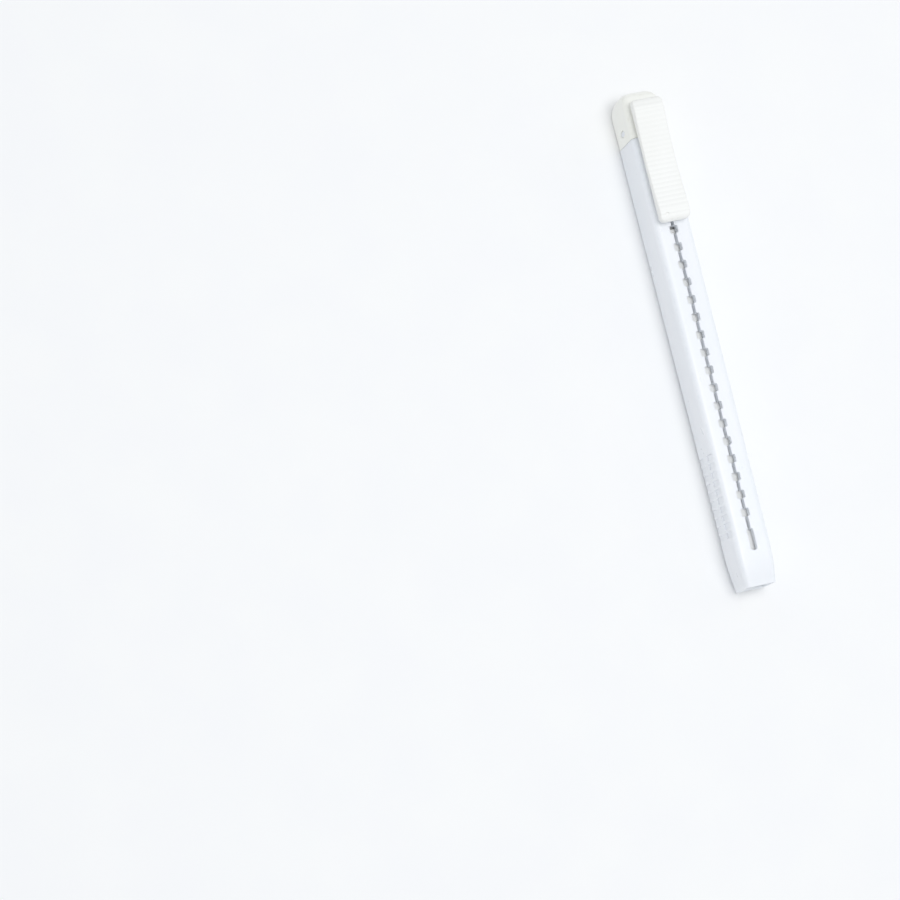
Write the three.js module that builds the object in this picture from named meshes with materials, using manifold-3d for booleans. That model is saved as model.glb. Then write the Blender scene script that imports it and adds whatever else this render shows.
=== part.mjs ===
// Slide-advance stick eraser: a slim flat barrel with a stepped slot down its front, a thumb slider that
// clicks along the slot, a carrier with two jaws inside, and a long rectangular eraser refill.
// Units are millimetres. The barrel lies on its back along Y with its cap towards +Y and its mouth
// towards -Y. +Z is the slider side and X is the width. "s" is a station: the distance from the cap's top.

import * as THREE from 'three';
import { mergeVertices } from 'three/addons/utils/BufferGeometryUtils.js';
import Module from 'manifold-3d';

const wasm = await Module();
wasm.setup();

// ---- driving dimensions -------------------------------------------------------------------------

const LENGTH = 118;
const GAP = 0.3;
// how far a cutter runs on past the face it leaves by, and how deep one solid is rooted in the next
const OVERRUN = 1;

// outside of the body: width, front and back heights at the cap, where the nose starts, and at the mouth
const BODY = {
  capWidth: 9, capFront: 12, capBack: 0,
  noseStart: 107, noseWidth: 8.66, noseFront: 11.42, noseBack: 0.58,
  mouthWidth: 7.2, mouthFront: 10.24, mouthBack: 0.92,
  corner: 1.5, mouthCorner: 1.1, noseCurve: 2.2, noseSteps: 7,
};
const CORNER_STEPS = 5;
// an inner corner is the outer one less this share of the inset, and never sharper than the least
const INNER_CORNER = { share: 0.7, least: 0.4 };

// inside of the body, a straight passage from the cap to the mouth
const BORE = { width: 6.2, low: 1.42, high: 9.72, corner: 0.7, start: 13.1 };

const CAP = {
  end: 11.0, wall: 0.8, topWall: 1.3, shoulder: 3.7, shoulderInset: 1.6,
  depthRounding: 3.8, widthRounding: 2.2, steps: 7,
  windowStation: 8.6, windowAcross: 3.3, windowAlong: 1.5, windowFacets: 20,
};
const SPIGOT = { top: 4.1, wall: 0.65 };
const LUG = { across: 2.5, along: 0.8, rise: 0.7 };

// the slot and its click notches
const SLOT = { start: 13.4, end: 109.9, width: 0.7, endWidth: 1.5, endLength: 4.8, endCorner: 0.7 };
const NOTCH = { first: 17.1, pitch: 4.2, count: 21, width: 1.9, length: 1.8 };

// finger grooves: one column near the front and one near the back of each flank
const GRIP = { first: 86.97, pitch: 2.02, count: 10, height: 1.33, length: 4.0, depth: 0.3, middle: 2.1 };

// the long low wedge on the back that the barrel rests on
const WEDGE = { start: 94, end: 109.3, width: 3.2, flat: 3, round: 0.6, chamfer: 0.18, rooted: 0.4 };

// thumb slider, drawn back to the cap
const PAD = {
  start: 3.1, end: 32.5, width: 7.3, planCorner: 1.2, underside: 13.65,
  middleThickness: 1.45, crestThickness: 2.4, crestInset: 2.8, endThickness: 1.5, endChamfer: 0.5,
  ribPitch: 1.1, ribCount: 24, ribDepth: 0.14, ribCrown: 0.3,
};
const PEDESTAL = { start: 8.4, end: 23.9, width: 5, underside: 13.0 };
const BLADE = { width: 0.35, underside: 10.3, stations: [[13.7, 14.4], [22.7, 23.9]] };
const PEG = { width: 0.35, length: 0.8, underside: 8.35, middles: [15.1, 19.1] };

// the plate behind the slot and its click nib
const PLATE = {
  start: 13.8, end: 20.4, width: 4.6, low: 8.3, high: 9.1, corner: 0.5, cornerSteps: 3,
  holeWidth: 1.1, holeLength: 1.4,
};
const NIB = { station: 17.1, width: 1.4, low: 9.4, high: 10.6, base: 1.6, tip: 0.5 };

// carrier: base plate, guide arm on the back wall, shoe on the front wall, and the two jaws
const CARRIER = {
  base: 26.3, thickness: 1.1, width: 5, low: 1.75, high: 9.4, corner: 0.5, rooted: 0.5,
};
const ARM = {
  width: 4.4, length: 11.8, thickness: 0.5, headLength: 3, headThickness: 1.6, headSlope: 0.8,
};
const SHOE = { width: 4.4, length: 2, thickness: 1.1 };
const JAW = {
  start: 27.7, end: 32.9, width: 4.6, thickness: 0.6, wallGap: 0.36,
  barb: 0.45, barbStart: 30.6, barbLength: 1.1,
};

// the leaf spring's middle line as [station, height] knots, from its foot on the back wall to its root
// at the carrier; the click plate rests on the bow between the first and the last run
const SPRING = {
  width: 3.6, thickness: 0.65, steps: 40,
  footKnots: [[9.6, 3.9], [8.9, 3.0], [10, 2.4], [12.0, 4.1], [14.4, 6.6]],
  rootKnots: [[19.9, 6.6], [22.8, 5.1], [24.9, 5.3], [25.8, 6.5]],
};

const REFILL = {
  tail: 27.9, tailEnd: 33.4, tip: 117.3, width: 5.2, depth: 7.3, tailDepth: 4.9, corner: 0.35,
};

// ---- small tools --------------------------------------------------------------------------------

const along = (s) => LENGTH / 2 - s;
const mix = THREE.MathUtils.lerp;

function toSolid(geometry) {
  const bare = geometry.clone();
  bare.deleteAttribute('normal');
  bare.deleteAttribute('uv');
  const merged = mergeVertices(bare);
  return new wasm.Manifold(new wasm.Mesh({
    numProp: 3,
    vertProperties: new Float32Array(merged.attributes.position.array),
    triVerts: new Uint32Array(merged.index.array),
  }));
}

function toGeometry(solid) {
  const mesh = solid.getMesh();
  const geometry = new THREE.BufferGeometry();
  geometry.setAttribute('position', new THREE.BufferAttribute(mesh.vertProperties, 3));
  geometry.setIndex(new THREE.BufferAttribute(mesh.triVerts, 1));
  geometry.computeVertexNormals();
  return geometry;
}

// a block from station s0 to s1 and from height z0 to z1
function block(width, s0, s1, z0, z1, x = 0) {
  const geometry = new THREE.BoxGeometry(width, s1 - s0, z1 - z0);
  geometry.translate(x, along((s0 + s1) / 2), (z0 + z1) / 2);
  return toSolid(geometry);
}

// a side view outline of [station, height] points, extruded across the width
function sideProfile(points, width) {
  const shape = new THREE.Shape(points.map(([s, z]) => new THREE.Vector2(along(s), z)));
  const geometry = new THREE.ExtrudeGeometry(shape, { depth: width, bevelEnabled: false });
  geometry.applyMatrix4(new THREE.Matrix4().set(
    0, 0, 1, -width / 2,
    1, 0, 0, 0,
    0, 1, 0, 0,
    0, 0, 0, 1,
  ));
  return toSolid(geometry);
}

// a plan view shape with round corners, standing from height z0 to z1
function planPrism(width, s0, s1, corner, z0, z1, steps = CORNER_STEPS) {
  const points = roundedRectangle(width, s1 - s0, corner, steps);
  const shape = new THREE.Shape(points.map(([x, y]) => new THREE.Vector2(x, y)));
  const geometry = new THREE.ExtrudeGeometry(shape, { depth: z1 - z0, bevelEnabled: false });
  geometry.translate(0, along((s0 + s1) / 2), z0);
  return toSolid(geometry);
}

// corner points of a rectangle with round corners, centred on the origin, anticlockwise
function roundedRectangle(width, height, corner, steps = CORNER_STEPS) {
  const points = [];
  for (let quarter = 0; quarter < 4; quarter++) {
    const right = quarter === 0 || quarter === 3 ? 1 : -1;
    const up = quarter < 2 ? 1 : -1;
    for (let i = 0; i <= steps; i++) {
      const angle = (quarter + i / steps) * Math.PI / 2;
      points.push([
        right * (width / 2 - corner) + corner * Math.cos(angle),
        up * (height / 2 - corner) + corner * Math.sin(angle),
      ]);
    }
  }
  return points;
}

// a closed skin through round-cornered sections { s, width, back, front, corner }, from the cap down
function loft(sections) {
  const rings = sections.map(({ s, width, back, front, corner }) => (
    roundedRectangle(width, front - back, corner)
      .map(([x, z]) => [x, along(s), z + (front + back) / 2])
  ));
  const count = rings[0].length;
  const positions = rings.flat(2);
  const index = [];
  for (let r = 0; r + 1 < rings.length; r++) {
    for (let i = 0; i < count; i++) {
      const next = (i + 1) % count;
      const [a, b] = [r * count + i, r * count + next];
      const [c, d] = [a + count, b + count];
      index.push(a, b, c, b, d, c);
    }
  }
  const last = (rings.length - 1) * count;
  for (let i = 1; i + 1 < count; i++) {
    index.push(0, i + 1, i);
    index.push(last, last + i, last + i + 1);
  }
  const geometry = new THREE.BufferGeometry();
  geometry.setAttribute('position', new THREE.Float32BufferAttribute(positions, 3));
  geometry.setIndex(index);
  return toSolid(geometry);
}

const join = (solids) => solids.reduce((whole, solid) => whole.add(solid));
const cut = (solid, tools) => tools.reduce((rest, tool) => rest.subtract(tool), solid);

// ---- outside shape of the body ------------------------------------------------------------------

// the body's section at station s: a slow straight taper, then the rounded nose
function bodySection(s) {
  const t = THREE.MathUtils.clamp((s - CAP.end) / (BODY.noseStart - CAP.end), 0, 1);
  const n = THREE.MathUtils.clamp((s - BODY.noseStart) / (LENGTH - BODY.noseStart), 0, 1);
  const bend = n ** BODY.noseCurve;
  return {
    s,
    width: mix(mix(BODY.capWidth, BODY.noseWidth, t), BODY.mouthWidth, bend),
    front: mix(mix(BODY.capFront, BODY.noseFront, t), BODY.mouthFront, bend),
    back: mix(mix(BODY.capBack, BODY.noseBack, t), BODY.mouthBack, bend),
    corner: mix(BODY.corner, BODY.mouthCorner, n),
  };
}

// the body's section at the cap, moved in by inset on every side
function insetSection(s, inset) {
  return {
    s,
    width: BODY.capWidth - 2 * inset,
    front: BODY.capFront - inset,
    back: BODY.capBack + inset,
    corner: Math.max(BODY.corner - inset * INNER_CORNER.share, INNER_CORNER.least),
  };
}

// ---- pieces -------------------------------------------------------------------------------------

function slotCutters() {
  const high = BODY.capFront + OVERRUN;
  const low = BORE.high - OVERRUN;
  const notches = Array.from({ length: NOTCH.count }, (_, i) => {
    const middle = NOTCH.first + i * NOTCH.pitch;
    return block(NOTCH.width, middle - NOTCH.length / 2, middle + NOTCH.length / 2, low, high);
  });
  return [
    block(SLOT.width, SLOT.start, SLOT.end - SLOT.endLength + OVERRUN, low, high),
    planPrism(SLOT.endWidth, SLOT.end - SLOT.endLength, SLOT.end, SLOT.endCorner, low, high),
    ...notches,
  ];
}

function gripCutters() {
  const cutters = [];
  for (let i = 0; i < GRIP.count; i++) {
    const middle = GRIP.first + i * GRIP.pitch;
    const { width, front, back } = bodySection(middle);
    const centre = (front + back) / 2;
    for (const side of [-1, 1]) {
      for (const [low, high] of [
        [centre - GRIP.middle / 2 - GRIP.length, centre - GRIP.middle / 2],
        [centre + GRIP.middle / 2, centre + GRIP.middle / 2 + GRIP.length],
      ]) {
        cutters.push(block(
          2 * GRIP.depth, middle - GRIP.height / 2, middle + GRIP.height / 2, low, high, side * width / 2,
        ));
      }
    }
  }
  return cutters;
}

function makeWedge() {
  const { start, end, width, flat, round, chamfer, rooted } = WEDGE;
  const inside = BODY.noseBack + rooted;
  return sideProfile([
    [start, bodySection(start).back],
    [end - round - flat, 0],
    [end - round, 0],
    [end - chamfer, chamfer],
    [end, round],
    [end, inside],
    [start, inside],
  ], width);
}

function makeBarrel() {
  const stations = [CAP.end + GAP, BODY.noseStart];
  for (let i = 1; i <= BODY.noseSteps; i++) {
    stations.push(mix(BODY.noseStart, LENGTH, i / BODY.noseSteps));
  }
  const skin = loft(stations.map(bodySection));
  const spigotInset = CAP.wall + GAP;
  const spigot = loft([insetSection(SPIGOT.top, spigotInset), insetSection(CAP.end + OVERRUN, spigotInset)]);
  const middle = (BODY.capFront + BODY.capBack) / 2;
  const lugs = [-1, 1].map((side) => block(
    2 * LUG.rise,
    CAP.windowStation - LUG.along / 2,
    CAP.windowStation + LUG.along / 2,
    middle - LUG.across / 2,
    middle + LUG.across / 2,
    side * (BODY.capWidth / 2 - spigotInset),
  ));
  const bore = {
    width: BORE.width, back: BORE.low, front: BORE.high, corner: BORE.corner,
  };
  const neck = { ...insetSection(0, spigotInset + SPIGOT.wall), front: BORE.high };
  return cut(join([skin, spigot, makeWedge(), ...lugs]), [
    loft([{ ...bore, s: BORE.start }, { ...bore, s: LENGTH + OVERRUN }]),
    loft([{ ...neck, s: SPIGOT.top - OVERRUN }, { ...neck, s: BORE.start + OVERRUN }]),
    ...slotCutters(),
    ...gripCutters(),
  ]);
}

function makeCap() {
  const sections = [];
  for (let i = 0; i <= CAP.steps; i++) {
    const angle = i / CAP.steps * Math.PI / 2;
    const rise = 1 - Math.sin(angle);
    sections.push({
      s: CAP.depthRounding * (1 - Math.cos(angle)),
      width: BODY.capWidth - 2 * CAP.widthRounding * rise,
      front: BODY.capFront - CAP.depthRounding * rise,
      back: BODY.capBack + CAP.depthRounding * rise,
      corner: BODY.corner,
    });
  }
  sections.push({ ...sections.at(-1), s: CAP.end });
  const hollow = loft([
    insetSection(CAP.topWall, CAP.wall + CAP.shoulderInset),
    insetSection(CAP.shoulder, CAP.wall),
    insetSection(CAP.end + OVERRUN, CAP.wall),
  ]);
  const window = new THREE.CylinderGeometry(0.5, 0.5, BODY.capWidth + 2 * OVERRUN, CAP.windowFacets);
  window.rotateZ(Math.PI / 2);
  window.scale(1, CAP.windowAlong, CAP.windowAcross);
  window.translate(0, along(CAP.windowStation), (BODY.capFront + BODY.capBack) / 2);
  return cut(loft(sections), [hollow, toSolid(window)]);
}

// thickness of the thumb pad: a shallow saddle between two crests, falling off to round ends
function padThickness(s) {
  const half = (PAD.end - PAD.start) / 2;
  const offset = Math.abs(s - PAD.start - half);
  const crest = half - PAD.crestInset;
  if (offset <= crest) {
    return mix(PAD.middleThickness, PAD.crestThickness, (offset / crest) ** 2);
  }
  return mix(PAD.crestThickness, PAD.endThickness, ((offset - crest) / PAD.crestInset) ** 2);
}

// side view of the thumb pad, with fine ribs across its top
function padOutline() {
  const { start, end, underside, endChamfer: soft, ribPitch, ribCount, ribDepth, ribCrown } = PAD;
  const top = (s) => underside + padThickness(s);
  const ribStart = (start + end - ribCount * ribPitch) / 2;
  const points = [[start + soft, underside], [start, underside + soft], [start, top(start) - soft]];
  for (let i = 0; i < ribCount; i++) {
    const valley = ribStart + i * ribPitch;
    points.push([valley, top(valley) - ribDepth]);
    points.push([valley + ribCrown * ribPitch, top(valley + ribCrown * ribPitch)]);
    points.push([valley + (1 - ribCrown) * ribPitch, top(valley + (1 - ribCrown) * ribPitch)]);
  }
  const lastValley = ribStart + ribCount * ribPitch;
  points.push([lastValley, top(lastValley) - ribDepth]);
  points.push([end, top(end) - soft], [end, underside + soft], [end - soft, underside]);
  return points;
}

function makeSlider() {
  const { start, end, width, underside } = PAD;
  const above = underside + PAD.crestThickness + OVERRUN;
  const plan = planPrism(width, start, end, PAD.planCorner, underside - OVERRUN, above);
  const pad = sideProfile(padOutline(), width + OVERRUN).intersect(plan);
  const rooted = underside + PAD.middleThickness / 2;
  const pedestal = block(PEDESTAL.width, PEDESTAL.start, PEDESTAL.end, PEDESTAL.underside, rooted);
  const blades = BLADE.stations.map(([s0, s1]) => block(BLADE.width, s0, s1, BLADE.underside, rooted));
  const pegs = PEG.middles.map((middle) => (
    block(PEG.width, middle - PEG.length / 2, middle + PEG.length / 2, PEG.underside, rooted)
  ));
  return join([pad, pedestal, ...blades, ...pegs]);
}

function makePlate() {
  const { start, end, width, low, high, corner, cornerSteps, holeWidth, holeLength } = PLATE;
  const holes = PEG.middles.map((middle) => block(
    holeWidth,
    middle - holeLength / 2,
    middle + holeLength / 2,
    low - OVERRUN,
    high + OVERRUN,
  ));
  return cut(planPrism(width, start, end, corner, low, high, cornerSteps), holes);
}

function makeNib() {
  return sideProfile([
    [NIB.station - NIB.base / 2, NIB.low],
    [NIB.station + NIB.base / 2, NIB.low],
    [NIB.station + NIB.tip / 2, NIB.high],
    [NIB.station - NIB.tip / 2, NIB.high],
  ], NIB.width);
}

function makeCarrier() {
  const { base, width, thickness, low, high, corner, rooted } = CARRIER;
  const section = { width, back: low, front: high, corner };
  const plate = loft([{ ...section, s: base }, { ...section, s: base + thickness }]);
  const tail = base - ARM.length;
  const headEnd = tail + ARM.headLength;
  const arm = sideProfile([
    [base + rooted, low],
    [tail, low],
    [tail, low + ARM.headThickness],
    [headEnd, low + ARM.headThickness],
    [headEnd + ARM.headSlope, low + ARM.thickness],
    [base + rooted, low + ARM.thickness],
  ], ARM.width);
  const shoe = block(SHOE.width, base - SHOE.length, base + rooted, high - SHOE.thickness, high);
  return join([plate, arm, shoe]);
}

// one jaw: a thin finger beside the passage wall with a barb that bites the refill's tail; side is 1 at
// the front and -1 at the back
function makeJaw(side) {
  const wall = side > 0 ? BORE.high - JAW.wallGap : BORE.low + JAW.wallGap;
  const inner = wall - side * JAW.thickness;
  const barb = inner - side * JAW.barb;
  const outline = [
    [JAW.start, wall],
    [JAW.end, wall],
    [JAW.end, inner],
    [JAW.barbStart + JAW.barbLength, inner],
    [JAW.barbStart, barb],
    [JAW.barbStart, inner],
    [JAW.start, inner],
  ];
  return sideProfile(side > 0 ? outline : outline.reverse(), JAW.width);
}

// the S-shaped leaf: a foot on the back wall, a bow under the click plate, and a root at the carrier's shoe
function makeSpring() {
  const { thickness, width, steps, footKnots, rootKnots } = SPRING;
  const bow = [NIB.station, PLATE.low - GAP - thickness / 2];
  const knots = [...footKnots, bow, ...rootKnots];
  const route = new THREE.CatmullRomCurve3(
    knots.map(([s, z]) => new THREE.Vector3(0, along(s), z)),
    false,
    'centripetal',
  );
  const centres = route.getSpacedPoints(steps);
  const left = [];
  const right = [];
  centres.forEach((point, i) => {
    const tangent = route.getTangentAt(i / steps);
    const [dy, dz] = [-tangent.z * thickness / 2, tangent.y * thickness / 2];
    left.push([LENGTH / 2 - point.y - dy, point.z + dz]);
    right.push([LENGTH / 2 - point.y + dy, point.z - dz]);
  });
  return sideProfile([...left, ...right.reverse()], width);
}

function makeRefill() {
  const centre = (BORE.low + BORE.high) / 2;
  const section = (s, depth) => ({
    s,
    width: REFILL.width,
    back: centre - depth / 2,
    front: centre + depth / 2,
    corner: REFILL.corner,
  });
  return join([
    loft([section(REFILL.tail, REFILL.tailDepth), section(REFILL.tailEnd + OVERRUN, REFILL.tailDepth)]),
    loft([section(REFILL.tailEnd, REFILL.depth), section(REFILL.tip, REFILL.depth)]),
  ]);
}

// ---- assembly -----------------------------------------------------------------------------------

const coolWhite = { color: 0xf2f4f8, roughness: 0.32, metalness: 0 };
const ivory = { color: 0xf1f2e8, roughness: 0.4, metalness: 0 };
const sliderWhite = { color: 0xf8f8f4, roughness: 0.45, metalness: 0 };
const innerWhite = { color: 0xeceeef, roughness: 0.4, metalness: 0 };
const vinyl = { color: 0xf4f4f0, roughness: 0.75, metalness: 0 };

const part = new THREE.Group();

function place(name, solid, finish) {
  const mesh = new THREE.Mesh(toGeometry(solid), new THREE.MeshStandardMaterial(finish));
  mesh.name = name;
  part.add(mesh);
}

place('barrel', makeBarrel(), coolWhite);
place('end_cap', makeCap(), ivory);
place('thumb_slider', makeSlider(), sliderWhite);
place('click_plate', makePlate(), innerWhite);
place('click_nib', makeNib(), innerWhite);
place('carrier', makeCarrier(), innerWhite);
place('leaf_spring', makeSpring(), innerWhite);
place('jaw_front', makeJaw(1), innerWhite);
place('jaw_back', makeJaw(-1), innerWhite);
place('eraser_refill', makeRefill(), vinyl);

export default part;
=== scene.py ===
"""Looks of the slide-advance stick eraser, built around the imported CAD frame."""
import math

import bmesh
import bpy
from mathutils import Matrix, Vector


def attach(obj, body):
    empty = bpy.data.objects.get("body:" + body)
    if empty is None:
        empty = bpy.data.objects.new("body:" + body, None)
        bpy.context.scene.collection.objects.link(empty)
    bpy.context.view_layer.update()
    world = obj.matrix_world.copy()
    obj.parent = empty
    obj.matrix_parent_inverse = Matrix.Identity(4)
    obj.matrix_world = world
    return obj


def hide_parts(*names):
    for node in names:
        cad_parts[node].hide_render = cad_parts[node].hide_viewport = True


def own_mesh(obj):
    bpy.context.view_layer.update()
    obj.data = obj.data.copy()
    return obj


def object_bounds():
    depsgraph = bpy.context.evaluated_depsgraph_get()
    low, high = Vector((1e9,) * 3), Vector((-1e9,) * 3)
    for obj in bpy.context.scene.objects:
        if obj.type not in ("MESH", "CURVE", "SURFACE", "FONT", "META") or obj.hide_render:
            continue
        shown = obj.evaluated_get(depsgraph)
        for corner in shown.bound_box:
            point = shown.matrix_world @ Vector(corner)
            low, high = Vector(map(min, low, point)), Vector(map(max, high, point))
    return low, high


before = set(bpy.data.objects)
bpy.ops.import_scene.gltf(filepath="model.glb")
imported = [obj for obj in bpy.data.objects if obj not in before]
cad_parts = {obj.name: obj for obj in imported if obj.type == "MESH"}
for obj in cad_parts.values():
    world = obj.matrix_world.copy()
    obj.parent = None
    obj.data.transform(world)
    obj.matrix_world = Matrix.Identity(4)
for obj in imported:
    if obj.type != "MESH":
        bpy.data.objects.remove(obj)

CAD_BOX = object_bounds()
MM = 0.001

# ---- dimensions in millimetres; a station s is the distance from the cap's top ----------------------

LENGTH = 118.0
GAP = 0.3
SEAM = 0.06                        # the hairline left between the cap and the barrel
ARC_STEPS = 10
CUT_MARGIN = 1.0
EDGE = 0.1                         # rounding of the moulded edges
FLARE = 0.1                        # chamfer where a cut meets the surface
FLARE_STEPS = ((1.5, 0.0), (0.5, 0.3), (0.0, 1.0))   # depth and growth, both in flares
LIP_STEPS = 4
FILLET_STEPS = 3
SHARP = math.radians(38)           # a steeper edge than this is left crisp
SOLVER = "MANIFOLD"

BODY_CAP = (9.0, 0.0, 12.0)        # width, back height and front height at the cap
BODY_NOSE = (8.66, 0.58, 11.42)    # the same where the nose starts
BODY_MOUTH = (7.2, 0.92, 10.24)    # the same at the mouth
BODY_CORNER = 1.5
MOUTH_CORNER = 1.1
NOSE_START = 107.0
NOSE_CURVE = 2.2
NOSE_RINGS = 22

BORE_WIDTH = 6.2
BORE_LOW = 1.42
BORE_HIGH = 9.72
BORE_CORNER = 0.7
BORE_START = 13.1

CAP_END = 11.0
CAP_WALL = 0.8
CAP_TOP_WALL = 1.3
CAP_SHOULDER = 3.7
CAP_SHOULDER_INSET = 1.6
CAP_DEPTH_ROUNDING = 3.8
CAP_WIDTH_ROUNDING = 2.2
CAP_RINGS = 20
WINDOW_STATION = 8.6
WINDOW_ACROSS = 3.3
WINDOW_ALONG = 1.5
WINDOW_FACETS = 48
INNER_CORNER_SHARE = 0.7
INNER_CORNER_LEAST = 0.4

SPIGOT_TOP = 4.1
SPIGOT_WALL = 0.65
LUG_CLEARANCE = 0.1
LUG_ROOT = 0.5
LUG_RISE = 0.95

SLOT_START = 13.4
SLOT_HALF = 0.35
SLOT_END = 109.9
SLOT_END_START = 105.1
SLOT_END_HALF = 0.75
SLOT_END_CORNER = 0.6
NOTCH_FIRST = 17.1
NOTCH_PITCH = 4.2
NOTCH_COUNT = 21
NOTCH_HALF = 0.95
NOTCH_REACH = 0.9
NOTCH_CORNER = 0.32

GRIP_FIRST = 86.97
GRIP_PITCH = 2.02
GRIP_COUNT = 10
GRIP_HEIGHT = 1.33
GRIP_LENGTH = 4.0
GRIP_DEPTH = 0.3
GRIP_MIDDLE = 2.1                  # the plain band between the two columns
GRIP_CORNER = 0.3
GRIP_CORNER_STEPS = 4
GRIP_FLOOR = ((0.0, -0.12), (0.04, -0.03), (0.12, 0.0))   # height above the floor, and growth
GRIP_FLARE = ((1.0, 0.0), (0.4, 0.3), (0.0, 1.0))         # depth and growth, both in flares

WEDGE_START = 94.0
WEDGE_END = 109.3
WEDGE_WIDTH = 3.2
WEDGE_FLAT = 3.0
WEDGE_ROUND = 0.6
WEDGE_CHAMFER = 0.18
WEDGE_ROOT = 0.98

PAD_START = 3.1
PAD_END = 32.5
PAD_WIDTH = 7.3
PAD_PLAN_CORNER = 1.2
PAD_UNDERSIDE = 13.65
PAD_MIDDLE = 1.45
PAD_CREST = 2.4
PAD_CREST_INSET = 2.8
PAD_TIP = 1.5
PAD_TIP_ROUND = 0.5
PAD_EDGE = 0.34
RIB_PITCH = 1.1
RIB_COUNT = 24
RIB_START = (PAD_START + PAD_END - RIB_COUNT * RIB_PITCH) / 2
RIB_DEPTH = 0.1
RIB_CROWN = 0.8
RIB_RINGS = 10
PAD_SHARP = math.radians(55)
PAD_TIP_RINGS = 14
PAD_TIP_REACH = 2.4                # how far the tip's rings reach, in tip roundings
PAD_RING_SPACE = 0.05
PAD_EDGE_SPARE = 0.02
DIMPLE = (-1.9, 31.0)              # x and station of the moulding mark on the pad
DIMPLE_RADIUS = 0.5
DIMPLE_DEPTH = 0.22
DIMPLE_FACETS = 24
DIMPLE_STEPS = ((1.0, 0.35), (0.75, 0.7), (0.0, 1.0))     # share of the depth and of the radius
DIMPLE_ABOVE = (0.5, 1.2)          # the cutter's height over the pad, and its share of the radius

STEM = (5.0, 8.4, 23.9, 13.0)      # width, first station, last station, underside
STEM_ROOT = 14.3
BLADE_WIDTH = 0.35
BLADE_UNDERSIDE = 10.3
BLADES = ((13.7, 14.4), (22.7, 23.9))
PEG_UNDERSIDE = 8.35
PEGS = ((14.7, 15.5), (18.7, 19.5))

REFILL_WIDTH = 5.2
REFILL_DEPTH = 7.3
REFILL_TAIL_DEPTH = 4.9
REFILL_TAIL = 27.9
REFILL_TAIL_END = 33.4
REFILL_TIP = 117.3
REFILL_CORNER = 0.35
REFILL_EDGE = 0.25
REFILL_STEP_SOFTNESS = 0.5         # the step behind the tail is rounded by this share

SPRING_WIDTH = 3.6
SPRING_THICKNESS = 0.65
SPRING_EDGE = 0.14
SPRING_STEPS = 96
SPRING_CORNER_STEPS = 4
SPRING_SPAN_STEPS = 24
SPRING_KNOTS = (
    (9.6, 3.9), (8.9, 3.0), (10.0, 2.4), (12.0, 4.1), (14.4, 6.6), (17.1, 7.675),
    (19.9, 6.6), (22.8, 5.1), (24.9, 5.3), (25.8, 6.5),
)

INNER_EDGE = 0.05
WELD = 0.001

# ---- mesh tools -------------------------------------------------------------------------------------


def along(s):
    return LENGTH / 2 - s


def mix(a, b, t):
    return a + (b - a) * t


def clamp(t):
    return min(max(t, 0.0), 1.0)


def point(x, s, z):
    """A point in millimetres; shade() turns a finished mesh into metres."""
    return Vector((x, along(s), z))


def rounded_rectangle(width, height, corner, steps=ARC_STEPS):
    """Points round a rectangle with round corners, centred on the origin."""
    points = []
    for quarter in range(4):
        right = 1 if quarter in (0, 3) else -1
        up = 1 if quarter < 2 else -1
        for i in range(steps + 1):
            angle = (quarter + i / steps) * math.pi / 2
            points.append((
                right * (width / 2 - corner) + corner * math.cos(angle),
                up * (height / 2 - corner) + corner * math.sin(angle),
            ))
    return points


def section(s, width, back, front, corner):
    """A ring of points: a round-cornered rectangle standing across the barrel at station s."""
    middle = (back + front) / 2
    return [point(x, s, z + middle) for x, z in rounded_rectangle(width, front - back, corner)]


def skin(rings, tube=False):
    """A closed mesh through rings: a tube's last ring joins its first, and others are capped."""
    bm = bmesh.new()
    rows = [[bm.verts.new(p) for p in ring] for ring in rings]
    count = len(rows[0])
    following = rows[1:] + rows[:1] if tube else rows[1:]
    for upper, lower in zip(rows, following):
        for i in range(count):
            j = (i + 1) % count
            bm.faces.new((upper[i], upper[j], lower[j], lower[i]))
    if not tube:
        bm.faces.new(rows[0])
        bm.faces.new(rows[-1])
    bmesh.ops.recalc_face_normals(bm, faces=bm.faces)
    return bm


def plan_prism(outline, low, high):
    """A plan outline of (x, station) points, standing from height low to height high."""
    return skin([[point(x, s, z) for x, s in outline] for z in (low, high)])


def side_prism(outline, width):
    """A side view outline of (station, height) points, extruded across the width."""
    return skin([[point(x, s, z) for s, z in outline] for x in (-width / 2, width / 2)])


def block(width, s0, s1, low, high, x=0.0):
    half = width / 2
    return plan_prism([(x - half, s0), (x + half, s0), (x + half, s1), (x - half, s1)], low, high)


def fillet(outline, radii, steps=FILLET_STEPS):
    """The outline with every corner swapped for a short arc of its own radius."""
    points = []
    for i, corner in enumerate(outline):
        here = Vector(corner)
        before = Vector(outline[i - 1]) - here
        after = Vector(outline[(i + 1) % len(outline)]) - here
        radius = radii[i]
        start = here + before.normalized() * radius
        end = here + after.normalized() * radius
        for k in range(steps + 1):
            t = k / steps
            curved = start.lerp(here, t).lerp(here.lerp(end, t), t)
            points.append(tuple(curved))
    return points


def gather(meshes):
    """Several meshes that don't touch, as one."""
    whole = bmesh.new()
    for bm in meshes:
        part = bpy.data.meshes.new("gathered")
        bm.to_mesh(part)
        bm.free()
        whole.from_mesh(part)
        bpy.data.meshes.remove(part)
    return whole


def as_object(name, bm):
    mesh = bpy.data.meshes.new(name)
    bm.to_mesh(mesh)
    bm.free()
    made = bpy.data.objects.new(name, mesh)
    bpy.context.scene.collection.objects.link(made)
    return made


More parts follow.
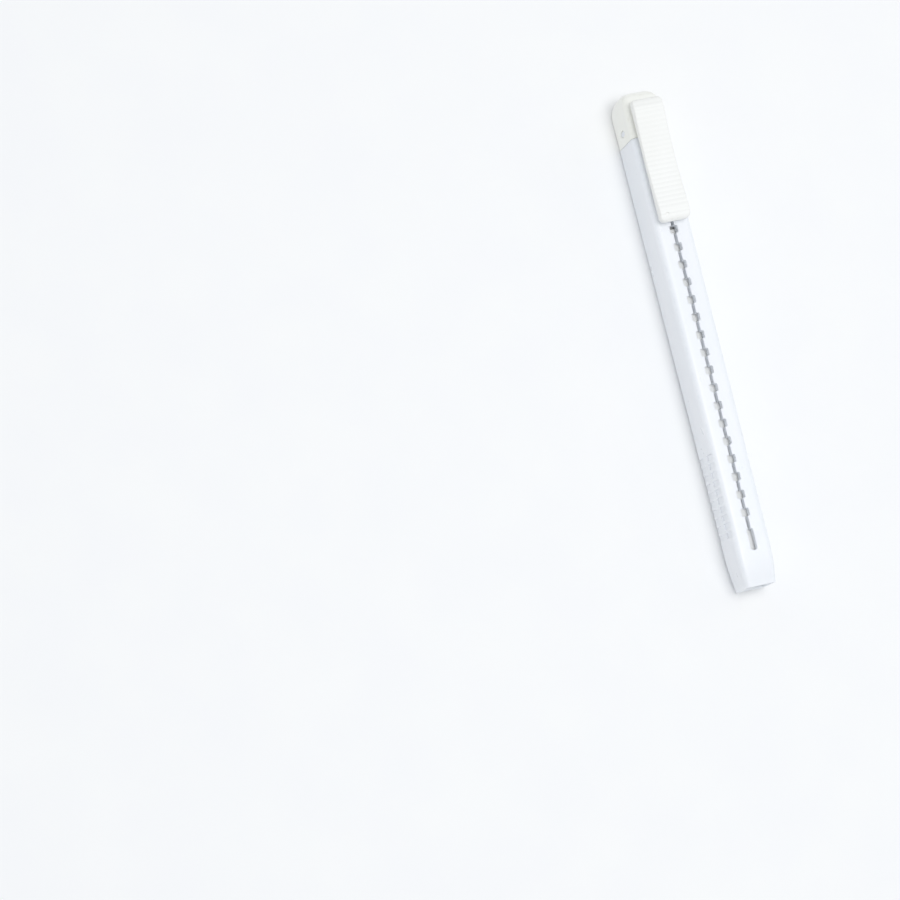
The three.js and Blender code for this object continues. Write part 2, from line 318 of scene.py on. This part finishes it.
def combine(obj, bm, operation):
    """Adds a mesh to the object or cuts it away, and keeps the result as the object's own mesh."""
    tool = as_object("tool", bm)
    modifier = obj.modifiers.new("combine", "BOOLEAN")
    modifier.object = tool
    modifier.operation = operation
    modifier.solver = SOLVER
    evaluated = obj.evaluated_get(bpy.context.evaluated_depsgraph_get())
    result = bpy.data.meshes.new_from_object(evaluated)
    old = obj.data
    obj.modifiers.remove(modifier)
    obj.data = result
    bpy.data.meshes.remove(old)
    bpy.data.meshes.remove(tool.data)
    result.name = obj.name


def softened(bm, radius, segments=2):
    """The mesh with all its edges rounded; for plain blocks and prisms, before they are combined."""
    edges = [e for e in bm.edges if e.calc_face_angle(0.0) > SHARP]
    bmesh.ops.bevel(bm, geom=edges, offset=radius, segments=segments, profile=0.5,
                    affect="EDGES")
    return bm


def lip(s_edge, towards, radius, steps=LIP_STEPS):
    """(station, inset) pairs that round off an end at s_edge, from the end face inwards."""
    pairs = []
    for k in range(steps + 1):
        angle = k / steps * math.pi / 2
        station = s_edge + towards * radius * (1 - math.cos(angle))
        pairs.append((station, radius * (1 - math.sin(angle))))
    return pairs


def shade(obj, sharp=SHARP):
    """Brings a finished mesh to metres, with smooth faces, crisp edges and even shading on the flats."""
    obj.data.transform(Matrix.Scale(MM, 4))
    obj.data.shade_smooth()
    obj.data.set_sharp_from_angle(angle=sharp)
    obj.modifiers.new("even_shading", "WEIGHTED_NORMAL").keep_sharp = True


# ---- materials --------------------------------------------------------------------------------------


FLAT = 0.93                        # the largest part of a normal: on a flat, and on a rounded edge
ROUNDED = 0.76
EDGE_WEAR = 0.6                    # how much of its worn colour an edge takes
EDGE_MATT = 0.10                   # how much rougher a worn edge is
SCATTER = (0.0014, 0.0014, 0.0014)
PLASTIC_IOR = 1.49
PLASTIC_SPECULAR = 0.5
EVEN = (1.0, 1.0, 1.0)
FLOW = (95.0, 3.0, (1.0, 0.35, 1.0))       # each noise: scale, detail and stretch along the barrel
PATCHES = (900.0, 4.0, EVEN)
HANDLING = (260.0, 4.0, EVEN)
SCRATCHES = (2600.0, 2.0, (1.0, 0.05, 1.0))
WAVE = (420.0, 1.0, (1.0, 0.3, 1.0))
FLOW_RANGE = (0.35, 0.65, 0.0, 1.0)        # each range: noise from and to, result from and to
PATCH_RANGE = (0.40, 0.64, 0.15, 1.0)
HANDLING_RANGE = (0.3, 0.7, -0.03, 0.05)
SCRATCH_RANGE = (0.50, 0.80, 0.0)
SCRATCH_ROUGHNESS = 0.04
WAVE_BUMP = (0.03, 0.0002)                 # strength and distance in metres
GRAIN_DEPTH = 0.00003
GRAIN_DETAIL = 2.0


class Nodes:
    """A short way to write node trees."""

    def __init__(self, name):
        self.material = bpy.data.materials.new(name)
        self.material.use_nodes = True
        self.tree = self.material.node_tree
        self.shader = self.tree.nodes["Principled BSDF"]

    def add(self, kind, inputs=None, **settings):
        node = self.tree.nodes.new(kind)
        for key, value in settings.items():
            setattr(node, key, value)
        for key, value in (inputs or {}).items():
            self.put(node.inputs[key], value)
        return node

    def put(self, socket, value):
        if isinstance(value, bpy.types.NodeSocket):
            self.tree.links.new(value, socket)
        else:
            socket.default_value = value

    def noise(self, scale, detail=2.0, stretch=(1.0, 1.0, 1.0)):
        """Noise in the object's own metres, drawn out along an axis by stretch."""
        place = self.add("ShaderNodeTexCoord").outputs["Object"]
        mapped = self.add("ShaderNodeMapping", {"Vector": place, "Scale": stretch})
        return self.add(
            "ShaderNodeTexNoise",
            {"Vector": mapped.outputs["Vector"], "Scale": scale, "Detail": detail},
        ).outputs["Fac"]

    def span(self, value, low, high, to_low, to_high):
        return self.add("ShaderNodeMapRange", {
            "Value": value, "From Min": low, "From Max": high, "To Min": to_low, "To Max": to_high,
        }).outputs["Result"]

    def blend(self, factor, a, b):
        node = self.add("ShaderNodeMix", data_type="RGBA")
        self.put(node.inputs[0], factor)
        self.put(node.inputs[6], a)
        self.put(node.inputs[7], b)
        return node.outputs[2]

    def ridges(self):
        """0 on the flats and 1 on the rounded edges, from the surface's own direction."""
        normal = self.add("ShaderNodeTexCoord").outputs["Normal"]
        size = self.add("ShaderNodeVectorMath", {0: normal}, operation="ABSOLUTE").outputs["Vector"]
        parts = self.add("ShaderNodeSeparateXYZ", {"Vector": size})
        most = self.sum(parts.outputs["X"], parts.outputs["Y"], "MAXIMUM")
        most = self.sum(most, parts.outputs["Z"], "MAXIMUM")
        return self.span(most, FLAT, ROUNDED, 0.0, 1.0)

    def sum(self, a, b, operation="ADD"):
        node = self.add("ShaderNodeMath", operation=operation)
        self.put(node.inputs[0], a)
        self.put(node.inputs[1], b)
        return node.outputs["Value"]


def linear(red, green, blue):
    """A display colour, 0 to 255, as a linear one."""
    def curve(level):
        level /= 255
        return level / 12.92 if level <= 0.04045 else ((level + 0.055) / 1.055) ** 2.4
    return (curve(red), curve(green), curve(blue), 1.0)


def plastic(name, colour, shade, worn, roughness, grain, grain_scale, streaks=1.0, sss=0.0):
    """Moulded plastic: flow variation, fine grain, handling scuffs and worn edges."""
    nodes = Nodes(name)
    flow = nodes.noise(*FLOW)
    cloud = nodes.span(flow, *FLOW_RANGE)
    base = nodes.blend(cloud, colour, shade)
    patches = nodes.span(nodes.noise(*PATCHES), *PATCH_RANGE)
    ridge = nodes.sum(nodes.ridges(), patches, "MULTIPLY")
    base = nodes.blend(nodes.sum(ridge, EDGE_WEAR, "MULTIPLY"), base, worn)
    nodes.put(nodes.shader.inputs["Base Color"], base)
    handled = nodes.span(nodes.noise(*HANDLING), *HANDLING_RANGE)
    scuffs = nodes.span(nodes.noise(*SCRATCHES), *SCRATCH_RANGE, SCRATCH_ROUGHNESS * streaks)
    rubbed = nodes.sum(ridge, EDGE_MATT, "MULTIPLY")
    rough = nodes.sum(nodes.sum(nodes.sum(handled, scuffs), rubbed), roughness)
    nodes.put(nodes.shader.inputs["Roughness"], rough)
    fine = nodes.noise(grain_scale, GRAIN_DETAIL)
    wave_strength, wave_depth = WAVE_BUMP
    relief = nodes.add("ShaderNodeBump", {
        "Height": nodes.noise(*WAVE), "Strength": wave_strength, "Distance": wave_depth,
    })
    grains = nodes.add("ShaderNodeBump", {
        "Height": fine, "Strength": grain, "Distance": GRAIN_DEPTH, "Normal": relief.outputs["Normal"],
    })
    nodes.put(nodes.shader.inputs["Normal"], grains.outputs["Normal"])
    nodes.shader.inputs["IOR"].default_value = PLASTIC_IOR
    nodes.shader.inputs["Specular IOR Level"].default_value = PLASTIC_SPECULAR
    if sss:
        nodes.shader.inputs["Subsurface Weight"].default_value = sss
        nodes.shader.inputs["Subsurface Radius"].default_value = SCATTER
        nodes.shader.inputs["Subsurface Scale"].default_value = 1.0
    return nodes.material


PAPER_FIBRE = (60.0, 4.0, EVEN)
PAPER_TOOTH = (1800.0, 3.0, EVEN)
PAPER_BUMP = (0.04, 0.0001)
PAPER_ROUGHNESS = (0.72, 0.84)


def floor_paper():
    """A pale matt sheet with a faint tooth."""
    nodes = Nodes("floor_paper")
    fibre = nodes.span(nodes.noise(*PAPER_FIBRE), *FLOW_RANGE)
    strength, depth = PAPER_BUMP
    nodes.put(nodes.shader.inputs["Base Color"],
              nodes.blend(fibre, linear(251, 251, 250), linear(250, 250, 250)))
    tooth = nodes.add("ShaderNodeBump", {
        "Height": nodes.noise(*PAPER_TOOTH), "Strength": strength, "Distance": depth,
    })
    nodes.put(nodes.shader.inputs["Normal"], tooth.outputs["Normal"])
    nodes.put(nodes.shader.inputs["Roughness"], nodes.span(fibre, 0.0, 1.0, *PAPER_ROUGHNESS))
    return nodes.material


BARREL = plastic("barrel_plastic", linear(246, 249, 254), linear(243, 247, 253),
                 linear(236, 240, 247), 0.30, 0.10, 9000.0, sss=0.4)
CAP = plastic("cap_plastic", linear(253, 253, 248), linear(251, 251, 244),
              linear(242, 241, 232), 0.36, 0.12, 8000.0)
SLIDER = plastic("slider_plastic", linear(250, 250, 247), linear(247, 247, 243),
                 linear(232, 231, 225), 0.44, 0.22, 6500.0)
INNER = plastic("inner_plastic", linear(248, 249, 250), linear(245, 246, 248),
                linear(232, 234, 236), 0.40, 0.12, 9000.0)
VINYL = plastic("eraser_vinyl", linear(252, 252, 250), linear(249, 249, 246),
                linear(236, 235, 231), 0.74, 0.50, 4200.0, streaks=0.3)


def paint(obj, material):
    obj.data.materials.clear()
    obj.data.materials.append(material)


def place(obj, material, body, slot, replaced=()):
    """Gives a piece its material, ties it to its body and hides the CAD nodes it replaces."""
    paint(obj, material)
    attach(obj, body)
    if replaced:
        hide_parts(*replaced)


# ---- the body ---------------------------------------------------------------------------------------


def body_size(s):
    """Width, back height and front height of the body at station s."""
    t = clamp((s - CAP_END) / (NOSE_START - CAP_END))
    bend = clamp((s - NOSE_START) / (LENGTH - NOSE_START)) ** NOSE_CURVE
    return tuple(
        mix(mix(cap, nose, t), mouth, bend)
        for cap, nose, mouth in zip(BODY_CAP, BODY_NOSE, BODY_MOUTH)
    )


def body_section(s, inset=0.0):
    """The outside of the body at station s, moved in by inset."""
    width, back, front = body_size(s)
    n = clamp((s - NOSE_START) / (LENGTH - NOSE_START))
    corner = mix(BODY_CORNER, MOUTH_CORNER, n)
    return section(s, width - 2 * inset, back + inset, front - inset, corner - inset / 2)


def inset_section(s, inset, front=None):
    """The body's section at the cap, moved in by inset."""
    width, back, top = BODY_CAP
    corner = max(BODY_CORNER - inset * INNER_CORNER_SHARE, INNER_CORNER_LEAST)
    return section(s, width - 2 * inset, back + inset, front or top - inset, corner)


def slot_outline():
    """The stepped slot seen from the front: narrow lands, wider notches and the end window."""
    right = [(SLOT_HALF, SLOT_START)]
    radii = [NOTCH_CORNER]
    for i in range(NOTCH_COUNT):
        middle = NOTCH_FIRST + i * NOTCH_PITCH
        right += [
            (SLOT_HALF, middle - NOTCH_REACH),
            (NOTCH_HALF, middle - NOTCH_REACH),
            (NOTCH_HALF, middle + NOTCH_REACH),
            (SLOT_HALF, middle + NOTCH_REACH),
        ]
        radii += [NOTCH_CORNER / 2, NOTCH_CORNER, NOTCH_CORNER, NOTCH_CORNER / 2]
    right += [
        (SLOT_HALF, SLOT_END_START),
        (SLOT_END_HALF, SLOT_END_START),
        (SLOT_END_HALF, SLOT_END),
    ]
    radii += [NOTCH_CORNER / 2, NOTCH_CORNER / 2, SLOT_END_CORNER]
    left = [(-x, s) for x, s in reversed(right)]
    return fillet(right + left, radii + radii[::-1])


def grown(outline, distance):
    """The outline moved outwards by a small distance."""
    points = []
    for i, here in enumerate(outline):
        before, after = Vector(outline[i - 1]), Vector(outline[(i + 1) % len(outline)])
        run = (after - before).normalized()
        points.append((here[0] + run.y * distance, here[1] - run.x * distance))
    return points


def slot_cutter():
    """The slot's solid, flared where it meets the front so that its edges come out rounded."""
    outline = slot_outline()
    low = BORE_HIGH - CUT_MARGIN
    rings = [[point(x, s, low) for x, s in outline]]
    steps = [(FLARE * deep, FLARE * wide) for deep, wide in FLARE_STEPS]
    for depth, grow in steps + [(-CUT_MARGIN, FLARE)]:
        rings.append([
            point(x, s, body_size(s)[2] - depth) for x, s in grown(outline, grow)
        ])
    return skin(rings)


def grip_cutter(side, middle, low):
    """One finger groove with a soft floor and soft edges."""
    x = body_size(middle)[0] / 2
    centre = low + GRIP_LENGTH / 2
    steps = [(GRIP_DEPTH - height, grow) for height, grow in GRIP_FLOOR]
    steps += [(FLARE * deep, FLARE * wide) for deep, wide in GRIP_FLARE]
    steps.append((-CUT_MARGIN, FLARE))
    rings = []
    for depth, grow in steps:
        outline = rounded_rectangle(GRIP_HEIGHT + 2 * grow, GRIP_LENGTH + 2 * grow,
                                    GRIP_CORNER + grow, GRIP_CORNER_STEPS)
        rings.append([point(side * (x - depth), middle + a, centre + b) for a, b in outline])
    return skin(rings)


def grip_cutters():
    """Two columns of finger grooves on each flank."""
    cutters = []
    for i in range(GRIP_COUNT):
        middle = GRIP_FIRST + i * GRIP_PITCH
        width, back, front = body_size(middle)
        centre = (front + back) / 2
        for side in (-1, 1):
            for low in (centre - GRIP_MIDDLE / 2 - GRIP_LENGTH, centre + GRIP_MIDDLE / 2):
                cutters.append(grip_cutter(side, middle, low))
    return gather(cutters)


def bore_section(s, widened=0.0):
    """The straight passage inside the barrel."""
    return section(s, BORE_WIDTH + 2 * widened, BORE_LOW - widened, BORE_HIGH + widened,
                   BORE_CORNER + widened)


def barrel_stations():
    """Rings across every notch and every finger groove, so that each cut splits its faces cleanly."""
    stations = []
    s = NOTCH_FIRST - NOTCH_PITCH / 2
    while s < GRIP_FIRST - GRIP_PITCH:
        stations.append(s)
        s += NOTCH_PITCH / 2
    stations += [GRIP_FIRST + (i - 1) * GRIP_PITCH / 2 for i in range(2 * GRIP_COUNT + 1)]
    nose_end = LENGTH - 2 * EDGE
    stations += [mix(NOSE_START, nose_end, i / NOSE_RINGS) for i in range(NOSE_RINGS + 1)]
    return stations


def window_outline(x, grow):
    """A ring of points round the cap's oval window, moved outwards by grow."""
    middle = sum(BODY_CAP[1:]) / 2
    ring = []
    for i in range(WINDOW_FACETS):
        angle = 2 * math.pi * i / WINDOW_FACETS
        ring.append(point(
            x,
            WINDOW_STATION + (WINDOW_ALONG / 2 + grow) * math.cos(angle),
            middle + (WINDOW_ACROSS / 2 + grow) * math.sin(angle),
        ))
    return ring


def make_barrel():
    stations = barrel_stations()
    spigot_inset = CAP_WALL + GAP
    neck_inset = spigot_inset + SPIGOT_WALL
    rings = [inset_section(s, spigot_inset + inset) for s, inset in lip(SPIGOT_TOP, 1, EDGE)]
    rings += [inset_section(s, spigot_inset) for s in (WINDOW_STATION, CAP_END + GAP)]
    rings += [body_section(s, inset) for s, inset in lip(CAP_END + GAP, 1, EDGE)]
    rings += [body_section(s) for s in stations]
    rings += [body_section(s, inset) for s, inset in lip(LENGTH, -1, EDGE)[::-1]]
    rings += [bore_section(s, inset) for s, inset in lip(LENGTH, -1, EDGE)]
    rings += [bore_section(s) for s in reversed(stations)]
    rings.append(bore_section(BORE_START))
    neck = (BORE_START, WINDOW_STATION, SPIGOT_TOP)
    rings += [inset_section(s, neck_inset, BORE_HIGH) for s in neck]
    barrel = as_object("barrel_shell", skin(rings, tube=True))

    lug_x = BODY_CAP[0] / 2 - spigot_inset
    lugs = [
        skin([
            window_outline(side * (lug_x + rise), -LUG_CLEARANCE - inset)
            for rise, inset in ((-LUG_ROOT, 0.0), (LUG_RISE - EDGE, 0.0),
                                (LUG_RISE - EDGE / 3, EDGE / 3), (LUG_RISE, EDGE))
        ])
        for side in (-1, 1)
    ]
    combine(barrel, gather(lugs), "UNION")
    combine(barrel, softened(side_prism([
        (WEDGE_START, body_size(WEDGE_START)[1]),
        (WEDGE_END - WEDGE_ROUND - WEDGE_FLAT, 0.0),
        (WEDGE_END - WEDGE_ROUND, 0.0),
        (WEDGE_END - WEDGE_CHAMFER, WEDGE_CHAMFER),
        (WEDGE_END, WEDGE_ROUND),
        (WEDGE_END, WEDGE_ROOT),
        (WEDGE_START, WEDGE_ROOT),
    ], WEDGE_WIDTH), EDGE), "UNION")
    combine(barrel, slot_cutter(), "DIFFERENCE")
    combine(barrel, grip_cutters(), "DIFFERENCE")
    shade(barrel)
    place(barrel, BARREL, "body", "barrel_plastic", ["barrel"])


def window_cutter():
    """The oval window through both flanks of the cap, flared at the surface."""
    half = BODY_CAP[0] / 2
    flank = ((half + CUT_MARGIN, EDGE), (half, EDGE),
             (half - EDGE / 2, EDGE / 3), (half - EDGE, 0.0))
    steps = [(-x, grow) for x, grow in flank] + list(reversed(flank))
    return skin([window_outline(x, grow) for x, grow in steps])


def make_cap():
    width, back, front = BODY_CAP
    rings = []
    for i in range(CAP_RINGS + 1):
        angle = i / CAP_RINGS * math.pi / 2
        rise = 1 - math.sin(angle)
        rings.append(section(
            CAP_DEPTH_ROUNDING * (1 - math.cos(angle)),
            width - 2 * CAP_WIDTH_ROUNDING * rise,
            back + CAP_DEPTH_ROUNDING * rise,
            front - CAP_DEPTH_ROUNDING * rise,
            BODY_CORNER,
        ))
    rings.append(section(WINDOW_STATION, width, back, front, BODY_CORNER))
    rim = CAP_END + GAP - SEAM
    for s, inset in lip(rim, -1, EDGE)[::-1]:
        rings.append(section(s, width - 2 * inset, back + inset, front - inset,
                             BODY_CORNER - inset / 2))
    rings += [inset_section(s, CAP_WALL - inset) for s, inset in lip(rim, -1, EDGE)]
    rings += [inset_section(s, CAP_WALL) for s in (WINDOW_STATION, CAP_SHOULDER)]
    rings.append(inset_section(CAP_TOP_WALL, CAP_WALL + CAP_SHOULDER_INSET))
    cap = as_object("cap_shell", skin(rings))
    combine(cap, window_cutter(), "DIFFERENCE")
    shade(cap)
    place(cap, CAP, "body", "cap_plastic", ["end_cap"])


# ---- the thumb slider -------------------------------------------------------------------------------


def pad_thickness(s):
    half = (PAD_END - PAD_START) / 2
    offset = abs(s - PAD_START - half)
    crest = half - PAD_CREST_INSET
    if offset <= crest:
        return mix(PAD_MIDDLE, PAD_CREST, (offset / crest) ** 2)
    return mix(PAD_CREST, PAD_TIP, ((offset - crest) / PAD_CREST_INSET) ** 2)


def rib_drop(s):
    """How far the pad's top lies below its crown line: round ribs with narrow valleys between them."""
    u = (s - RIB_START) / RIB_PITCH
    if not 0 <= u <= RIB_COUNT:
        return 0.0
    return RIB_DEPTH * (1 - math.sin(math.pi * (u % 1)) ** RIB_CROWN)


def pad_section(s):
    """The pad across its width at station s, narrowed and thinned where its ends turn round."""
    reach = min(s - PAD_START, PAD_END - s)
    plan = PAD_PLAN_CORNER - min(reach, PAD_PLAN_CORNER)
    narrowed = PAD_PLAN_CORNER - math.sqrt(PAD_PLAN_CORNER ** 2 - plan ** 2)
    tip = PAD_TIP_ROUND - min(reach, PAD_TIP_ROUND)
    thinned = PAD_TIP_ROUND - math.sqrt(PAD_TIP_ROUND ** 2 - tip ** 2)
    top = PAD_UNDERSIDE + pad_thickness(s) - rib_drop(s) - thinned
    low = PAD_UNDERSIDE + thinned
    edge = min(PAD_EDGE, (top - low) / 2 - PAD_EDGE_SPARE)
    return section(s, PAD_WIDTH - 2 * narrowed, low, top, edge)


def dimple_cutter():
    """A shallow bowl at the moulding mark, open above the pad."""
    x0, s0 = DIMPLE
    top = PAD_UNDERSIDE + pad_thickness(s0)
    above, spread = DIMPLE_ABOVE
    steps = [(DIMPLE_DEPTH * deep, share) for deep, share in DIMPLE_STEPS]
    rings = []
    for depth, share in steps + [(-above, spread)]:
        radius = DIMPLE_RADIUS * share
        ring = []
        for i in range(DIMPLE_FACETS):
            angle = 2 * math.pi * i / DIMPLE_FACETS
            ring.append(point(
                x0 + radius * math.cos(angle), s0 + radius * math.sin(angle), top - depth,
            ))
        rings.append(ring)
    return skin(rings)


def make_pad():
    stations = []
    for i in range(PAD_TIP_RINGS):
        turn = 1 - math.cos(i / PAD_TIP_RINGS * math.pi / 2)
        stations.append(PAD_START + PAD_TIP_ROUND * PAD_TIP_REACH * turn)
    stations = [s for s in stations if s < RIB_START - PAD_RING_SPACE]
    ends = [PAD_START + PAD_END - s for s in reversed(stations)]
    ribs = [RIB_START + i * RIB_PITCH / RIB_RINGS for i in range(RIB_COUNT * RIB_RINGS + 1)]
    pad = as_object("thumb_pad", skin([pad_section(s) for s in stations + ribs + ends]))
    combine(pad, dimple_cutter(), "DIFFERENCE")
    shade(pad, PAD_SHARP)
    place(pad, SLIDER, "button", "slider_plastic", ["thumb_slider"])


def make_stem():
    """The pedestal under the pad, with the guide blades and pegs that go through the slot."""
    width, s0, s1, underside = STEM
    stem = as_object("slider_stem", softened(block(width, s0, s1, underside, STEM_ROOT), EDGE))
    legs = [block(BLADE_WIDTH, *blade, BLADE_UNDERSIDE, STEM_ROOT - GAP) for blade in BLADES]
    legs += [block(BLADE_WIDTH, *peg, PEG_UNDERSIDE, STEM_ROOT - GAP) for peg in PEGS]
    combine(stem, gather([softened(leg, FLARE) for leg in legs]), "UNION")
    shade(stem)
    place(stem, SLIDER, "button", "slider_plastic")


# ---- the refill and the inner pieces ----------------------------------------------------------------


def make_refill():
    centre = (BORE_LOW + BORE_HIGH) / 2

    def ring(s, depth, inset):
        return section(s, REFILL_WIDTH - 2 * inset, centre - depth / 2 + inset,
                       centre + depth / 2 - inset, REFILL_CORNER)

    rings = []
    for s0, s1, depth in ((REFILL_TAIL, REFILL_TAIL_END, REFILL_TAIL_DEPTH),
                          (REFILL_TAIL_END, REFILL_TIP, REFILL_DEPTH)):
        start = lip(s0, 1, REFILL_EDGE)
        if s0 == REFILL_TAIL_END:
            start = [(s, inset * REFILL_STEP_SOFTNESS) for s, inset in start]
        end = [(s1, 0.0)] if s1 == REFILL_TAIL_END else lip(s1, -1, REFILL_EDGE)[::-1]
        rings += [ring(s, depth, inset) for s, inset in start + end]
    refill = as_object("eraser_refill_stick", skin(rings))
    shade(refill)
    place(refill, VINYL, "refill", "eraser_vinyl", ["eraser_refill"])


def spring_route():
    """A smooth line through the spring's knots, evenly stepped."""
    knots = [Vector(k) for k in SPRING_KNOTS]
    lead_in, lead_out = 2 * knots[0] - knots[1], 2 * knots[-1] - knots[-2]
    knots = [lead_in] + knots + [lead_out]
    dense = []
    for a, b, c, d in zip(knots, knots[1:], knots[2:], knots[3:]):
        t0, t1 = 0.0, (b - a).length ** 0.5
        t2 = t1 + (c - b).length ** 0.5
        t3 = t2 + (d - c).length ** 0.5
        for k in range(SPRING_SPAN_STEPS):
            t = mix(t1, t2, k / SPRING_SPAN_STEPS)
            ab = a.lerp(b, (t - t0) / (t1 - t0))
            bc = b.lerp(c, (t - t1) / (t2 - t1))
            cd = c.lerp(d, (t - t2) / (t3 - t2))
            abc = ab.lerp(bc, (t - t0) / (t2 - t0))
            bcd = bc.lerp(cd, (t - t1) / (t3 - t1))
            dense.append(abc.lerp(bcd, (t - t1) / (t2 - t1)))
    dense.append(knots[-2])
    lengths = [0.0]
    for a, b in zip(dense, dense[1:]):
        lengths.append(lengths[-1] + (b - a).length)
    route, k = [], 0
    for i in range(SPRING_STEPS + 1):
        target = lengths[-1] * i / SPRING_STEPS
        while k + 2 < len(lengths) and lengths[k + 1] < target:
            k += 1
        t = (target - lengths[k]) / (lengths[k + 1] - lengths[k])
        route.append(dense[k].lerp(dense[k + 1], clamp(t)))
    return route


def make_spring():
    route = spring_route()
    profile = rounded_rectangle(SPRING_WIDTH, SPRING_THICKNESS, SPRING_EDGE, SPRING_CORNER_STEPS)
    rings = []
    for i, here in enumerate(route):
        before, after = route[max(i - 1, 0)], route[min(i + 1, len(route) - 1)]
        run = (after - before).normalized()
        rings.append([
            point(x, here.x - run.y * out, here.y + run.x * out) for x, out in profile
        ])
    spring = as_object("leaf_spring_blade", skin(rings))
    shade(spring)
    place(spring, INNER, "carriage", "inner_plastic", ["leaf_spring"])
    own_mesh(spring)


def dress_cad_nodes():
    """The small inner pieces keep their CAD shape, with softened edges and a real material."""
    for name in ("click_plate", "click_nib", "carrier", "jaw_front", "jaw_back"):
        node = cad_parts[name]
        for slot in node.material_slots:
            slot.material = INNER
        node.modifiers.new("closed_skin", "WELD").merge_threshold = WELD * MM
        soft = node.modifiers.new("soft_edges", "BEVEL")
        soft.width = INNER_EDGE * MM
        soft.segments = 2
        soft.limit_method = "ANGLE"
        soft.angle_limit = SHARP
        node.modifiers.new("even_shading", "WEIGHTED_NORMAL").keep_sharp = True


# ---- the set ----------------------------------------------------------------------------------------

FOCAL_PIXELS = 3300.0
FRAME_PIXELS = 900.0
CAMERA_CLIP = (0.01, 20.0)
SENSOR = 36.0
CAMERA_PLACE = (-239.41, -107.89, 722.22)
CAMERA_AXES = (
    (0.95047, -0.23447, 0.20404),
    (0.19989, 0.96381, 0.17637),
    (-0.23801, -0.12685, 0.96294),
)
FLOOR_SIZE = 4.0
FLOOR_STEPS = 8
SKY_COLOUR = (0.93, 0.96, 1.0, 1.0)
SKY_STRENGTH = 0.66
SOFT_BOXES = (                     # name, place in metres, side and power
    ("key", (0.05, -0.05, 1.1), 0.42, 4.4),
    ("side", (0.7, 0.2, 0.6), 0.5, 0.3),
)


def make_camera():
    data = bpy.data.cameras.new("camera")
    data.sensor_width = SENSOR
    data.lens = SENSOR * FOCAL_PIXELS / FRAME_PIXELS
    data.clip_start, data.clip_end = CAMERA_CLIP
    camera = bpy.data.objects.new("camera", data)
    bpy.context.scene.collection.objects.link(camera)
    turn = Matrix(CAMERA_AXES).transposed().to_4x4()
    camera.matrix_world = Matrix.Translation(Vector(CAMERA_PLACE) * MM) @ turn
    bpy.context.scene.camera = camera


def make_floor():
    bm = bmesh.new()
    bmesh.ops.create_grid(bm, x_segments=FLOOR_STEPS, y_segments=FLOOR_STEPS, size=FLOOR_SIZE / 2)
    floor = as_object("floor", bm)
    floor.location.z = CAD_BOX[0].z
    paint(floor, floor_paper())


def area_light(name, place, size, power):
    """A square soft box that faces the object."""
    data = bpy.data.lights.new(name, "AREA")
    data.shape = "SQUARE"
    data.size = size
    data.energy = power
    light = bpy.data.objects.new(name, data)
    bpy.context.scene.collection.objects.link(light)
    light.location = place
    light.rotation_mode = "QUATERNION"
    light.rotation_quaternion = (-Vector(place)).to_track_quat("-Z", "Y")


def light_the_set():
    world = bpy.data.worlds.new("studio")
    world.use_nodes = True
    sky = world.node_tree.nodes["Background"]
    sky.inputs["Color"].default_value = SKY_COLOUR
    sky.inputs["Strength"].default_value = SKY_STRENGTH
    bpy.context.scene.world = world
    for name, place, size, power in SOFT_BOXES:
        area_light(name, place, size, power)
    bpy.context.scene.view_settings.view_transform = "Standard"


make_camera()
make_barrel()
make_cap()
make_pad()
make_stem()
make_refill()
make_spring()
dress_cad_nodes()
make_floor()
light_the_set()
